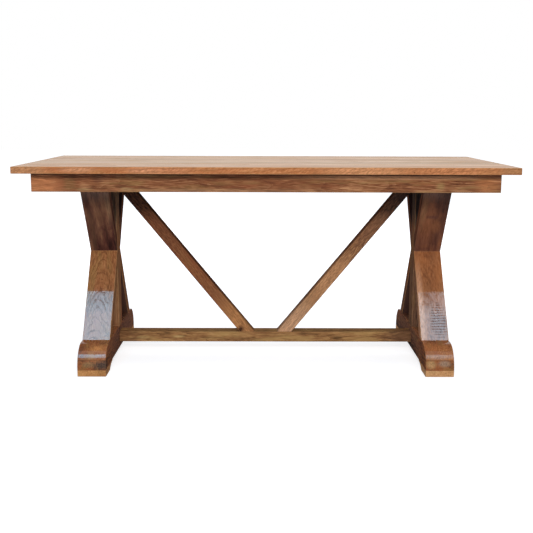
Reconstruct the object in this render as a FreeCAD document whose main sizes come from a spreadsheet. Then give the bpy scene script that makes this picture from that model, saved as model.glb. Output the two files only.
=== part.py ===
import FreeCAD, Part
import os
import Sketcher

# A trestle dining table in solid wood, in millimetres: +Z up, X along the table, the front towards -Y,
# and the origin on the floor under the middle of the top.

board_count = 7
hair = 1e-6
trestles = (("left", "-"), ("right", ""))

# The boards that take a screw from below, counted from the middle board
bearer_steps = (-2, -1, 1, 2)
batten_steps = (-2, -1, 0, 1, 2)

# Driving dimensions, one cell each
sizes = {
    "table_length": 1800,
    "table_depth": 850,
    "table_height": 780,
    "top_thickness": 25,
    "top_overhang": 56,
    "top_round": 2,
    "apron_height": 68,
    "apron_thickness": 24,
    "block_leg": 70,
    "block_height": 50,
    "batten_width": 80,
    "batten_height": 32,
    "trestle_inset": 199,
    "trestle_thickness": 106,
    "bearer_height": 66,
    "post_depth": 76,
    "post_tenon_width": 50,
    "post_tenon_thickness": 36,
    "post_tenon_length": 28,
    "waist_height": 423,
    "waist_gap": 1,
    "arm_setback": 28,
    "high_spread": 183,
    "arm_thickness": 40,
    "foot_length": 740,
    "foot_height": 88,
    "nose_land": 4,
    "pad_height": 24,
    "pad_length": 90,
    "cove_length": 63,
    "heel_lip": 3,
    "stretcher_depth": 64,
    "stretcher_height": 42,
    "stretcher_tenon_width": 40,
    "stretcher_tenon_height": 26,
    "stretcher_tenon_length": 25,
    "brace_depth": 60,
    "brace_thickness": 45,
    "brace_toe": 48,
    "brace_gap": 1,
    "edge_round": 2,
    "fit_gap": 0.1,
    "end_gap": 1,
    "dowel_diameter": 10,
    "dowel_depth": 18,
    "dowel_pitch": 56,
    "brace_dowel_pitch": 30,
    "brace_dowel_inset": 12,
    "screw_diameter": 5,
    "screw_head_diameter": 10,
    "screw_head_height": 3,
    "top_bite": 17,
    "bearer_sink": 39,
    "batten_sink": 5,
    "pad_sink": 10,
    "pad_bite": 30,
    "pad_screw_pitch": 60,
    "stretcher_sink": 12,
    "brace_bite": 40,
    "brace_screw_pitch": 30,
    "bolt_diameter": 8,
    "bolt_head_diameter": 14,
    "bolt_head_height": 6,
    "bolt_sink": 22,
    "bolt_tail": 10,
    "washer_diameter": 20,
    "washer_thickness": 2,
    "nut_diameter": 14,
    "nut_length": 24,
    "nut_offset": 40,
}

# Places and lengths that follow from the driving dimensions, in the sheet's own formulas
places = {
    "length_half": "table_length / 2",
    "depth_half": "table_depth / 2",
    "board_width": f"table_depth / {board_count}",
    "board_half": "board_width / 2",
    "under_top": "table_height - top_thickness",
    "apron_low": "under_top - apron_height",
    "apron_half_length": "length_half - top_overhang",
    "apron_half_thickness": "apron_thickness / 2",
    "frame_inner_x": "apron_half_length - apron_thickness",
    "frame_inner_y": "depth_half - top_overhang - apron_thickness",
    "front_apron_y": "frame_inner_y + apron_half_thickness",
    "end_apron_x": "frame_inner_x + apron_half_thickness",
    "block_low": "under_top - block_height",
    "batten_half": "batten_width / 2",
    "batten_low": "under_top - batten_height",
    "bearer_low": "under_top - bearer_height",
    "trestle_half": "trestle_thickness / 2",
    "trestle_centre": "length_half - trestle_inset - trestle_half",
    "trestle_inner": "trestle_centre - trestle_half",
    "trestle_outer": "trestle_centre + trestle_half",
    "foot_half": "foot_length / 2",
    "foot_top": "pad_height + foot_height",
    "nose_radius": "foot_height - nose_land",
    "heel_end": "foot_half - pad_length - cove_length",
    "cove_rise": "pad_height - heel_lip",
    "cove_radius": "(cove_length ^ 2 + cove_rise ^ 2) / (2 * cove_rise)",
    "cove_axis": "cove_rise - cove_radius",
    "post_half": "post_depth / 2",
    "post_height": "bearer_low - foot_top",
    "tenon_half_width": "post_tenon_width / 2",
    "tenon_half_thickness": "post_tenon_thickness / 2",
    "tenon_low": "foot_top - post_tenon_length",
    "tenon_span": "post_height + 2 * post_tenon_length",
    "mortise_half_width": "tenon_half_width + fit_gap",
    "mortise_half_thickness": "tenon_half_thickness + fit_gap",
    "mortise_depth": "post_tenon_length + end_gap",
    "low_tip": "waist_height - waist_gap / 2",
    "low_reach": "foot_half - nose_radius - arm_setback",
    "low_spread": "low_reach - post_half",
    "low_rise": "low_tip - foot_top",
    "low_slant": "sqrt(low_spread ^ 2 + low_rise ^ 2)",
    "low_inside": "low_reach - arm_thickness * low_slant / low_rise",
    "low_shoulder": "low_tip - arm_thickness * low_slant / low_spread",
    "high_tip": "waist_height + waist_gap / 2",
    "high_rise": "bearer_low - high_tip",
    "high_slant": "sqrt(high_spread ^ 2 + high_rise ^ 2)",
    "high_reach": "post_half + high_spread",
    "high_inside": "high_reach - arm_thickness * high_slant / high_rise",
    "high_shoulder": "high_tip + arm_thickness * high_slant / high_spread",
    "stretcher_mid": "pad_height + foot_height / 2",
    "stretcher_top": "stretcher_mid + stretcher_height / 2",
    "stretcher_low": "stretcher_mid - stretcher_height / 2",
    "stretcher_half": "stretcher_depth / 2",
    "stretcher_span": "2 * trestle_inner",
    "stretcher_end": "trestle_inner + stretcher_tenon_length",
    "stretcher_full": "2 * stretcher_end",
    "cross_half_width": "stretcher_tenon_width / 2",
    "cross_high": "stretcher_mid + stretcher_tenon_height / 2",
    "cross_low": "stretcher_mid - stretcher_tenon_height / 2",
    "socket_half_width": "cross_half_width + fit_gap",
    "socket_high": "cross_high + fit_gap",
    "socket_low": "cross_low - fit_gap",
    "socket_depth": "stretcher_tenon_length + end_gap",
    "brace_head": "under_top - brace_gap",
    "brace_rise": "brace_head - stretcher_top",
    "brace_run": "trestle_inner - brace_toe",
    "brace_slant": "sqrt(brace_rise ^ 2 + brace_run ^ 2)",
    "brace_heel": "brace_toe + brace_thickness * brace_slant / brace_rise",
    "brace_low": "brace_head - brace_thickness * brace_slant / brace_run",
    "dowel_radius": "dowel_diameter / 2",
    "dowel_hole": "dowel_radius + fit_gap",
    "dowel_bore": "dowel_depth + end_gap",
    "dowel_length": "2 * dowel_depth",
    "dowel_x": "dowel_pitch / 2",
    "foot_dowel_low": "foot_top - dowel_depth",
    "foot_dowel_y": "(low_inside + low_reach - dowel_depth * low_spread / low_rise) / 2",
    "low_dowel_z": "(low_shoulder + low_tip - dowel_depth * low_rise / low_spread) / 2",
    "post_dowel_start": "post_half + dowel_depth",
    "bearer_dowel_low": "bearer_low - dowel_depth",
    "bearer_dowel_y": "(high_inside + high_reach - dowel_depth * high_spread / high_rise) / 2",
    "high_dowel_z": "(high_shoulder + high_tip + dowel_depth * high_rise / high_spread) / 2",
    "brace_dowel_y": "brace_dowel_pitch / 2",
    "brace_dowel_mid": "(brace_low + brace_head - dowel_depth * brace_rise / brace_run) / 2",
    "brace_dowel_z": "max(brace_dowel_mid; bearer_low + brace_dowel_inset)",
    "brace_dowel_start": "trestle_inner - dowel_depth",
    "screw_radius": "screw_diameter / 2",
    "screw_hole": "screw_radius + fit_gap",
    "screw_head_radius": "screw_head_diameter / 2",
    "screw_head_hole": "screw_head_radius + fit_gap",
    "pilot_depth": "top_bite + end_gap",
    "board_two": "2 * board_width",
    "bearer_seat": "bearer_low + bearer_sink",
    "bearer_screw_length": "bearer_height - bearer_sink + top_bite",
    "bearer_screw_head": "bearer_seat - screw_head_height",
    "batten_seat": "batten_low + batten_sink",
    "batten_screw_length": "batten_height - batten_sink + top_bite",
    "batten_screw_head": "batten_seat - screw_head_height",
    "pad_screw_x": "pad_screw_pitch / 2",
    "pad_screw_y": "foot_half - pad_length / 2",
    "pad_screw_length": "pad_height - pad_sink + pad_bite",
    "pad_screw_head": "pad_sink - screw_head_height",
    "pad_pilot_depth": "pad_bite + end_gap",
    "brace_screw_x": "(brace_heel + brace_toe + brace_bite * brace_run / brace_rise) / 2",
    "brace_screw_y": "brace_screw_pitch / 2",
    "brace_seat": "stretcher_low + stretcher_sink",
    "brace_screw_length": "stretcher_height - stretcher_sink + brace_bite",
    "brace_screw_head": "brace_seat - screw_head_height",
    "brace_pilot_depth": "brace_bite + end_gap",
    "bolt_radius": "bolt_diameter / 2",
    "bolt_hole": "bolt_radius + fit_gap",
    "bolt_head_radius": "bolt_head_diameter / 2",
    "washer_radius": "washer_diameter / 2",
    "washer_hole": "washer_radius + fit_gap",
    "washer_seat": "trestle_outer - bolt_sink",
    "bolt_seat": "washer_seat + washer_thickness",
    "nut_x": "trestle_inner - nut_offset",
    "bolt_tip": "nut_x - bolt_tail",
    "bolt_length": "bolt_seat - bolt_tip",
    "bolt_bore": "stretcher_end - bolt_tip + end_gap",
    "nut_radius": "nut_diameter / 2",
    "nut_hole": "nut_radius + fit_gap",
    "nut_low": "stretcher_mid - nut_length / 2",
    "nut_bore": "(stretcher_height + nut_length) / 2 + end_gap",
}

doc = FreeCAD.newDocument("trestle_table")
sheet = doc.addObject("Spreadsheet::Sheet", "sheet")
for row, (alias, value) in enumerate(sizes.items(), 1):
    sheet.set(f"A{row}", alias.replace("_", " "))
    sheet.set(f"B{row}", str(value))
    sheet.setAlias(f"B{row}", alias)
for row, (alias, formula) in enumerate(places.items(), 1):
    sheet.set(f"C{row}", alias.replace("_", " "))
    sheet.set(f"D{row}", f"={formula}")
    sheet.setAlias(f"D{row}", alias)
doc.recompute()


# Drawing helpers: a place is the alias of a cell, with a minus in front where it lies on the other side

def cell(place):
    sign = "-" if place.startswith("-") else ""
    return f"{sign}sheet.{place.lstrip('-')}"


def number(place):
    if place == "0":
        return 0
    value = getattr(sheet, place.lstrip("-"))
    return -value if place.startswith("-") else value


def both(place):
    return (f"-{place}", place)


def grid(across, up):
    return [(x, y) for x in both(across) for y in both(up)]


def row_of_two(across, up):
    return [(x, up) for x in both(across)]


def new_body(label):
    body = doc.addObject("PartDesign::Body", label)
    body.Label = label
    body.AllowCompound = True
    return body


def place_at(body, x="0", y="0", turn=0):
    body.Placement = FreeCAD.Placement(FreeCAD.Vector(), FreeCAD.Rotation(FreeCAD.Vector(0, 0, 1), turn))
    for axis, place in (("x", x), ("y", y)):
        if place != "0":
            body.setExpression(f"Placement.Base.{axis}", cell(place))


def new_sketch(body, plane, away):
    sketch = body.newObject("Sketcher::SketchObject", f"{body.Name}_sketch")
    support = next(feature for feature in body.Origin.OriginFeatures if feature.Role == f"{plane}_Plane")
    sketch.AttachmentSupport = [(support, "")]
    sketch.MapMode = "FlatFace"
    if away != "0":
        sketch.setExpression("AttachmentOffset.Base.z", cell(away))
    return sketch


def pin_point(sketch, geometry, end, across, up):
    for kind, axis, place in (("DistanceX", -2, across), ("DistanceY", -1, up)):
        if place == "0":
            sketch.addConstraint(Sketcher.Constraint("PointOnObject", geometry, end, axis))
            continue
        index = sketch.addConstraint(Sketcher.Constraint(kind, -1, 1, geometry, end, number(place)))
        sketch.setExpression(f"Constraints[{index}]", cell(place))


def polygon(body, plane, corners, away="0"):
    sketch = new_sketch(body, plane, away)
    points = [FreeCAD.Vector(number(across), number(up), 0) for across, up in corners]
    for index, point in enumerate(points):
        sketch.addGeometry(Part.LineSegment(point, points[(index + 1) % len(points)]))
    for index, (across, up) in enumerate(corners):
        sketch.addConstraint(Sketcher.Constraint("Coincident", index, 2, (index + 1) % len(corners), 1))
        pin_point(sketch, index, 1, across, up)
    return sketch


def rectangle(body, plane, left, right, low, high, away="0"):
    return polygon(body, plane, [(left, low), (right, low), (right, high), (left, high)], away)


def circles(body, plane, centres, radius, away="0"):
    sketch = new_sketch(body, plane, away)
    for index, (across, up) in enumerate(centres):
        centre = FreeCAD.Vector(number(across), number(up), 0)
        sketch.addGeometry(Part.Circle(centre, FreeCAD.Vector(0, 0, 1), number(radius)))
        pin_point(sketch, index, 3, across, up)
        size = sketch.addConstraint(Sketcher.Constraint("Radius", index, number(radius)))
        sketch.setExpression(f"Constraints[{size}]", cell(radius))
    return sketch


def pad(body, sketch, length, side="One side", flip=False):
    feature = body.newObject("PartDesign::Pad", f"{body.Name}_pad")
    feature.Profile = sketch
    feature.SideType = side
    feature.Reversed = flip
    feature.setExpression("Length", cell(length))
    return feature


def pocket(body, sketch, depth, side="One side", flip=False):
    doc.recompute()
    before = body.Shape.Volume
    feature = body.newObject("PartDesign::Pocket", f"{body.Name}_pocket")
    feature.Profile = sketch
    feature.SideType = side
    feature.Reversed = flip
    feature.setExpression("Length", cell(depth))
    doc.recompute()
    if body.Shape.Volume > before - hair:
        raise RuntimeError(f"{body.Label}: a pocket cuts nothing")
    return feature


def bores(body, plane, centres, radius, depth, away="0", flip=False):
    return pocket(body, circles(body, plane, centres, radius, away), depth, flip=flip)


def pegs(body, plane, centres, radius, length, away, flip=False):
    return pad(body, circles(body, plane, centres, radius, away), length, flip=flip)


def ease(body, radius, wanted):
    doc.recompute()
    base = body.Tip
    names = [f"Edge{index}" for index, edge in enumerate(base.Shape.Edges, 1) if wanted(edge)]
    feature = body.newObject("PartDesign::Fillet", f"{body.Name}_fillet")
    feature.Base = (base, names)
    feature.setExpression("Radius", cell(radius))
    return feature


# What an edge's run and place say about it, for choosing the edges to ease

def runs_along(edge, axis):
    step = edge.Vertexes[-1].Point - edge.Vertexes[0].Point
    return all(abs(step[other]) < hair for other in range(3) if other != axis) and abs(step[axis]) > hair


def middle(edge):
    return (edge.Vertexes[0].Point + edge.Vertexes[-1].Point) / 2


def lies_at(edge, axis, place):
    return abs(middle(edge)[axis] - number(place)) < hair


# Table top: boards glued edge to edge, eased round the outside of the whole top

def top_board(step):
    body = new_body(f"top_board_{step + board_count // 2 + 1}")
    face = rectangle(body, "XY", "-length_half", "length_half", "-board_half", "board_half", "under_top")
    pad(body, face, "top_thickness")
    outer_side = {-(board_count // 2): "-board_half", board_count // 2: "board_half"}.get(step)

    def on_outline(edge):
        at_end = lies_at(edge, 0, "length_half") or lies_at(edge, 0, "-length_half")
        at_side = outer_side is not None and lies_at(edge, 1, outer_side)
        if runs_along(edge, 2):
            return at_end and at_side
        return at_end or at_side

    ease(body, "top_round", on_outline)
    centres = [("0", "0")] if step in batten_steps else []
    if step in bearer_steps:
        centres += row_of_two("trestle_centre", "0")
    if centres:
        bores(body, "XY", centres, "screw_hole", "pilot_depth", "under_top", flip=True)
    body.setExpression("Placement.Base.y", f"sheet.board_width * {step}")


# Frame under the top

def long_apron(label, side, turn):
    body = new_body(label)
    face = rectangle(body, "XY", "-apron_half_length", "apron_half_length",
                     "-apron_half_thickness", "apron_half_thickness", "apron_low")
    pad(body, face, "apron_height")
    ease(body, "edge_round", lambda edge: lies_at(edge, 2, "apron_low")
         or (runs_along(edge, 2) and lies_at(edge, 1, "-apron_half_thickness")))
    place_at(body, y=side + "front_apron_y", turn=turn)


def end_apron(label, side, turn):
    body = new_body(label)
    face = rectangle(body, "XY", "-apron_half_thickness", "apron_half_thickness",
                     "-frame_inner_y", "frame_inner_y", "apron_low")
    pad(body, face, "apron_height")
    ease(body, "edge_round", lambda edge: lies_at(edge, 2, "apron_low") and runs_along(edge, 1))
    place_at(body, x=side + "end_apron_x", turn=turn)


def corner_block(label, side_x, side_y, turn):
    body = new_body(label)
    corners = [("0", "0"), ("block_leg", "0"), ("0", "block_leg")]
    pad(body, polygon(body, "XY", corners, "block_low"), "block_height")
    place_at(body, x=side_x + "frame_inner_x", y=side_y + "frame_inner_y", turn=turn)


def screw_rows(across, steps):
    rows = {-2: "-board_two", -1: "-board_width", 0: "0", 1: "board_width", 2: "board_two"}
    return [(across, rows[step]) for step in steps]


def batten():
    body = new_body("centre_batten")
    face = rectangle(body, "XY", "-batten_half", "batten_half",
                     "-frame_inner_y", "frame_inner_y", "batten_low")
    pad(body, face, "batten_height")
    ease(body, "edge_round", lambda edge: lies_at(edge, 2, "batten_low") and runs_along(edge, 1))
    centres = screw_rows("0", batten_steps)
    bores(body, "XY", centres, "screw_hole", "batten_height", "batten_low", flip=True)
    bores(body, "XY", centres, "screw_head_hole", "batten_sink", "batten_low", flip=True)


# Trestle pieces, each drawn with the trestle's middle at X zero and the room side towards +X

bolt_axis = [("0", "stretcher_mid")]


def mortise(body, mouth):
    return rectangle(body, "XY", "-mortise_half_thickness", "mortise_half_thickness",
                     "-mortise_half_width", "mortise_half_width", mouth)


def foot_beam(label, side, turn):
    body = new_body(label)
    profile = rectangle(body, "YZ", "-foot_half", "foot_half", "pad_height", "foot_top")
    pad(body, profile, "trestle_thickness", "Symmetric")
    ease(body, "nose_radius", lambda edge: runs_along(edge, 0) and lies_at(edge, 2, "foot_top"))
    ease(body, "edge_round", lambda edge: not runs_along(edge, 0))
    pocket(body, mortise(body, "foot_top"), "mortise_depth")
    bores(body, "XY", grid("dowel_x", "foot_dowel_y"), "dowel_hole", "dowel_bore", "foot_top")
    pad_screws = grid("pad_screw_x", "pad_screw_y")
    bores(body, "XY", pad_screws, "screw_hole", "pad_pilot_depth", "pad_height", flip=True)
    socket = rectangle(body, "YZ", "-socket_half_width", "socket_half_width",
                       "socket_low", "socket_high", "trestle_half")
    pocket(body, socket, "socket_depth")
    bores(body, "YZ", bolt_axis, "bolt_hole", "trestle_thickness", "-trestle_half", flip=True)
    bores(body, "YZ", bolt_axis, "washer_hole", "bolt_sink", "-trestle_half", flip=True)
    place_at(body, x=side + "trestle_centre", turn=turn)


def foot_pad(label, side, turn):
    body = new_body(label)
    profile = rectangle(body, "YZ", "-foot_half", "-heel_end", "0", "pad_height")
    pad(body, profile, "trestle_thickness", "Symmetric")
    cove = circles(body, "YZ", [("-heel_end", "cove_axis")], "cove_radius")
    pocket(body, cove, "trestle_thickness", "Symmetric")
    ease(body, "edge_round",
         lambda edge: lies_at(edge, 1, "-foot_half") and not lies_at(edge, 2, "pad_height"))
    centres = row_of_two("pad_screw_x", "-pad_screw_y")
    bores(body, "XY", centres, "screw_hole", "pad_height", flip=True)
    bores(body, "XY", centres, "screw_head_hole", "pad_sink", flip=True)
    place_at(body, x=side + "trestle_centre", turn=turn)


def post(label, side):
    body = new_body(label)
    shaft = rectangle(body, "XY", "-trestle_half", "trestle_half",
                      "-post_half", "post_half", "foot_top")
    pad(body, shaft, "post_height")
    ease(body, "edge_round", lambda edge: runs_along(edge, 2))
    core = rectangle(body, "XY", "-tenon_half_thickness", "tenon_half_thickness",
                     "-tenon_half_width", "tenon_half_width", "tenon_low")
    pad(body, core, "tenon_span")
    dowels = row_of_two("dowel_x", "low_dowel_z") + row_of_two("dowel_x", "high_dowel_z")
    bores(body, "XZ", dowels, "dowel_hole", "dowel_bore", "post_half")
    bores(body, "XZ", dowels, "dowel_hole", "dowel_bore", "-post_half", flip=True)
    place_at(body, x=side + "trestle_centre")


def slanting(edge):
    step = edge.Vertexes[-1].Point - edge.Vertexes[0].Point
    return sum(abs(part) > hair for part in step) == 2


def arm(label, side, turn, corners, end_height, end_y, end_flip, post_z):
    body = new_body(label)
    pad(body, polygon(body, "YZ", corners), "trestle_thickness", "Symmetric")
    ease(body, "edge_round", slanting)
    bores(body, "XY", row_of_two("dowel_x", end_y), "dowel_hole", "dowel_bore", end_height, end_flip)
    bores(body, "XZ", row_of_two("dowel_x", post_z), "dowel_hole", "dowel_bore", "post_half", True)
    place_at(body, x=side + "trestle_centre", turn=turn)


def lower_arm(label, side, turn):
    corners = [("-low_reach", "foot_top"), ("-low_inside", "foot_top"),
               ("-post_half", "low_shoulder"), ("-post_half", "low_tip")]
    arm(label, side, turn, corners, "foot_top", "-foot_dowel_y", True, "low_dowel_z")


def upper_arm(label, side, turn):
    corners = [("-post_half", "high_tip"), ("-post_half", "high_shoulder"),
               ("-high_inside", "bearer_low"), ("-high_reach", "bearer_low")]
    arm(label, side, turn, corners, "bearer_low", "-bearer_dowel_y", False, "high_dowel_z")


def bearer(label, side, turn):
    body = new_body(label)
    face = rectangle(body, "XY", "-trestle_half", "trestle_half",
                     "-frame_inner_y", "frame_inner_y", "bearer_low")
    pad(body, face, "bearer_height")
    ease(body, "edge_round", lambda edge: lies_at(edge, 2, "bearer_low") and runs_along(edge, 1))
    pocket(body, mortise(body, "bearer_low"), "mortise_depth", flip=True)
    bores(body, "XY", grid("dowel_x", "bearer_dowel_y"), "dowel_hole", "dowel_bore", "bearer_low", True)
    centres = screw_rows("0", bearer_steps)
    bores(body, "XY", centres, "screw_hole", "bearer_height", "bearer_low", flip=True)
    bores(body, "XY", centres, "screw_head_hole", "bearer_sink", "bearer_low", flip=True)
    brace_pair = row_of_two("brace_dowel_y", "brace_dowel_z")
    bores(body, "YZ", brace_pair, "dowel_hole", "dowel_bore", "trestle_half")
    place_at(body, x=side + "trestle_centre", turn=turn)


# Stretcher and braces between the trestles

def stretcher():
    body = new_body("stretcher")
    section = rectangle(body, "YZ", "-stretcher_half", "stretcher_half",
                        "stretcher_low", "stretcher_top")
    pad(body, section, "stretcher_span", "Symmetric")
    ease(body, "edge_round", lambda edge: runs_along(edge, 0))
    core = rectangle(body, "YZ", "-cross_half_width", "cross_half_width", "cross_low", "cross_high")
    pad(body, core, "stretcher_full", "Symmetric")
    bores(body, "YZ", bolt_axis, "bolt_hole", "bolt_bore", "stretcher_end")
    bores(body, "YZ", bolt_axis, "bolt_hole", "bolt_bore", "-stretcher_end", flip=True)
    bores(body, "XY", row_of_two("nut_x", "0"), "nut_hole", "nut_bore", "stretcher_low", flip=True)
    centres = grid("brace_screw_x", "brace_screw_y")
    bores(body, "XY", centres, "screw_hole", "stretcher_height", "stretcher_low", flip=True)
    bores(body, "XY", centres, "screw_head_hole", "stretcher_sink", "stretcher_low", flip=True)


def brace(label, turn):
    body = new_body(label)
    corners = [("-brace_heel", "stretcher_top"), ("-brace_toe", "stretcher_top"),
               ("-trestle_inner", "brace_head"), ("-trestle_inner", "brace_low")]
    pad(body, polygon(body, "XZ", corners), "brace_depth", "Symmetric")
    ease(body, "edge_round", slanting)
    centres = [("-brace_screw_x", y) for y in both("brace_screw_y")]
    bores(body, "XY", centres, "screw_hole", "brace_pilot_depth", "stretcher_top", flip=True)
    dowels = row_of_two("brace_dowel_y", "brace_dowel_z")
    bores(body, "YZ", dowels, "dowel_hole", "dowel_bore", "-trestle_inner", flip=True)
    place_at(body, turn=turn)


# Fasteners: each group is one node of separate solids, drawn on the same centres as its holes

def screws(label, centres, seat, length, head):
    body = new_body(label)
    pegs(body, "XY", centres, "screw_radius", length, seat)
    pegs(body, "XY", centres, "screw_head_radius", "screw_head_height", head)
    return body


def all_screws():
    on_bearers = [centre for x in both("trestle_centre") for centre in screw_rows(x, bearer_steps)]
    screws("bearer_screws", on_bearers, "bearer_seat", "bearer_screw_length", "bearer_screw_head")
    on_batten = screw_rows("0", batten_steps)
    screws("batten_screws", on_batten, "batten_seat", "batten_screw_length", "batten_screw_head")
    on_braces = grid("brace_screw_x", "brace_screw_y")
    screws("brace_screws", on_braces, "brace_seat", "brace_screw_length", "brace_screw_head")
    on_pads = grid("pad_screw_x", "pad_screw_y")
    for name, side in trestles:
        body = screws(f"{name}_pad_screws", on_pads, "pad_sink", "pad_screw_length", "pad_screw_head")
        place_at(body, x=side + "trestle_centre")


def arm_dowels(label, side):
    body = new_body(label)
    for low_end, y in (("foot_dowel_low", "foot_dowel_y"), ("bearer_dowel_low", "bearer_dowel_y")):
        pegs(body, "XY", grid("dowel_x", y), "dowel_radius", "dowel_length", low_end)
    centres = row_of_two("dowel_x", "low_dowel_z") + row_of_two("dowel_x", "high_dowel_z")
    pegs(body, "XZ", centres, "dowel_radius", "dowel_length", "post_dowel_start", flip=True)
    pegs(body, "XZ", centres, "dowel_radius", "dowel_length", "-post_dowel_start")
    place_at(body, x=side + "trestle_centre")


def brace_dowels():
    body = new_body("brace_dowels")
    centres = row_of_two("brace_dowel_y", "brace_dowel_z")
    pegs(body, "YZ", centres, "dowel_radius", "dowel_length", "brace_dowel_start")
    pegs(body, "YZ", centres, "dowel_radius", "dowel_length", "-brace_dowel_start", flip=True)


def stretcher_fixings():
    bolts = new_body("stretcher_bolts")
    washers = new_body("stretcher_washers")
    for sign, flip in (("", False), ("-", True)):
        pegs(bolts, "YZ", bolt_axis, "bolt_radius", "bolt_length", sign + "bolt_tip", flip)
        pegs(bolts, "YZ", bolt_axis, "bolt_head_radius", "bolt_head_height", sign + "bolt_seat", flip)
        pegs(washers, "YZ", bolt_axis, "washer_radius", "washer_thickness", sign + "washer_seat", flip)
    nuts = new_body("stretcher_barrel_nuts")
    pegs(nuts, "XY", row_of_two("nut_x", "0"), "nut_radius", "nut_length", "nut_low")
    for body in (washers, nuts):
        pocket(body, circles(body, "YZ", bolt_axis, "bolt_hole"), "table_length", "Symmetric")


for step in range(-(board_count // 2), board_count // 2 + 1):
    top_board(step)
long_apron("apron_front", "-", 0)
long_apron("apron_back", "", 180)
end_apron("apron_left", "-", 0)
end_apron("apron_right", "", 180)
corner_block("corner_block_front_left", "-", "-", 0)
corner_block("corner_block_front_right", "", "-", 90)
corner_block("corner_block_back_right", "", "", 180)
corner_block("corner_block_back_left", "-", "", 270)
batten()
for name, side in trestles:
    room_turn = 0 if side else 180
    foot_beam(f"{name}_foot_beam", side, room_turn)
    post(f"{name}_post", side)
    bearer(f"{name}_bearer", side, room_turn)
    for end, turn in (("front", 0), ("back", 180)):
        foot_pad(f"{name}_foot_pad_{end}", side, turn)
        lower_arm(f"{name}_lower_arm_{end}", side, turn)
        upper_arm(f"{name}_upper_arm_{end}", side, turn)
    arm_dowels(f"{name}_arm_dowels", side)
stretcher()
brace("brace_left", 0)
brace("brace_right", 180)
all_screws()
brace_dowels()
stretcher_fixings()
doc.recompute()

failed = [item.Label for item in doc.Objects if {"Invalid", "Error"} & set(item.State)]
if failed:
    raise RuntimeError(f"failed objects: {failed}")
bodies = [item for item in doc.Objects if item.TypeId == "PartDesign::Body"]
for body in bodies:
    if body.Shape.isNull() or not body.Shape.isValid() or not body.Shape.Solids:
        raise RuntimeError(f"{body.Label} has no valid solid")

os.makedirs("parts", exist_ok=True)
for body in bodies:
    body.Shape.exportStep(f"parts/{body.Label}.step")
print(f"{len(bodies)} nodes, {sum(len(body.Shape.Solids) for body in bodies)} solids")
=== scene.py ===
import math
import bpy
from mathutils import Euler, Matrix, Vector


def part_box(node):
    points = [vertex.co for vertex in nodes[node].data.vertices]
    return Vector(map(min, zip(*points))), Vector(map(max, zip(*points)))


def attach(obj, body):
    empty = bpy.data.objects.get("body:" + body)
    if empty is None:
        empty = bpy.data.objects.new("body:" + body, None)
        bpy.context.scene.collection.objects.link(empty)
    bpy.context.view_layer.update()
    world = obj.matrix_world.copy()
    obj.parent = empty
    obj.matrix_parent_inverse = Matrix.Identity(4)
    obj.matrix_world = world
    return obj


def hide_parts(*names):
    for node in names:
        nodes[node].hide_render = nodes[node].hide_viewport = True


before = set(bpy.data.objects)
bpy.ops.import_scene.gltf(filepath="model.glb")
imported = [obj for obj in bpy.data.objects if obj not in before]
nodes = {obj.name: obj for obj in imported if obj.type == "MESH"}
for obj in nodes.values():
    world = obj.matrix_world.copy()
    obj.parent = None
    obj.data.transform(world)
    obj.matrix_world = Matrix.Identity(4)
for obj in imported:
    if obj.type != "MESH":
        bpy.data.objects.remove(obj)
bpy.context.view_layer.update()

print("frame loaded,", len(nodes), "nodes")


# small helpers for shader trees

def emptyMaterial(name):
    material = bpy.data.materials.new(name)
    material.use_nodes = True
    tree = material.node_tree
    tree.nodes.clear()
    shader = tree.nodes.new("ShaderNodeBsdfPrincipled")
    output = tree.nodes.new("ShaderNodeOutputMaterial")
    tree.links.new(shader.outputs["BSDF"], output.inputs["Surface"])
    return material, tree, shader


def addNode(tree, kind, sockets=None, **settings):
    item = tree.nodes.new("ShaderNode" + kind)
    for key, value in settings.items():
        setattr(item, key, value)
    for socket, value in (sockets or {}).items():
        if isinstance(value, bpy.types.NodeSocket):
            tree.links.new(value, item.inputs[socket])
        else:
            item.inputs[socket].default_value = value
    return item


def calc(tree, operation, *values):
    sockets = dict(enumerate(values))
    return addNode(tree, "Math", sockets, operation=operation).outputs[0]


def vectorCalc(tree, operation, *values):
    sockets = dict(enumerate(values))
    return addNode(tree, "VectorMath", sockets, operation=operation).outputs[0]


def times(tree, first, second):
    return calc(tree, "MULTIPLY", first, second)


def noise(tree, vector, scale, detail=2.0, rough=0.5):
    sockets = {"Vector": vector, "Scale": scale, "Detail": detail, "Roughness": rough}
    return addNode(tree, "TexNoise", sockets)


def drawnOut(tree, vector, share):
    scale = (share, 1.0, 1.0)
    return addNode(tree, "Mapping", {"Vector": vector, "Scale": scale}).outputs[0]


def step(tree, value, low, high, toLow=0.0, toHigh=1.0):
    sockets = {"Value": value, "From Min": low, "From Max": high, "To Min": toLow, "To Max": toHigh}
    return addNode(tree, "MapRange", sockets, interpolation_type="SMOOTHSTEP").outputs[0]


def tint(tree, share, under, over):
    mix = addNode(tree, "Mix", data_type="RGBA")
    sockets = {item.identifier: item for item in mix.inputs}
    tree.links.new(share, sockets["Factor_Float"])
    for socket, colour in (("A_Color", under), ("B_Color", over)):
        if isinstance(colour, bpy.types.NodeSocket):
            tree.links.new(colour, sockets[socket])
        else:
            sockets[socket].default_value = (*colour, 1.0)
    return next(item for item in mix.outputs if item.identifier == "Result_Color")


def ramp(tree, value, stops):
    item = addNode(tree, "ValToRGB", {"Fac": value})
    band = item.color_ramp
    while len(band.elements) < len(stops):
        band.elements.new(0.5)
    for element, (place, colour) in zip(band.elements, stops):
        element.position = place
        element.color = (*colour, 1.0)
    return item.outputs["Color"]


# wood: a log whose pith lies beside the piece, cut through, so that faces, edges and ends all agree

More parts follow.
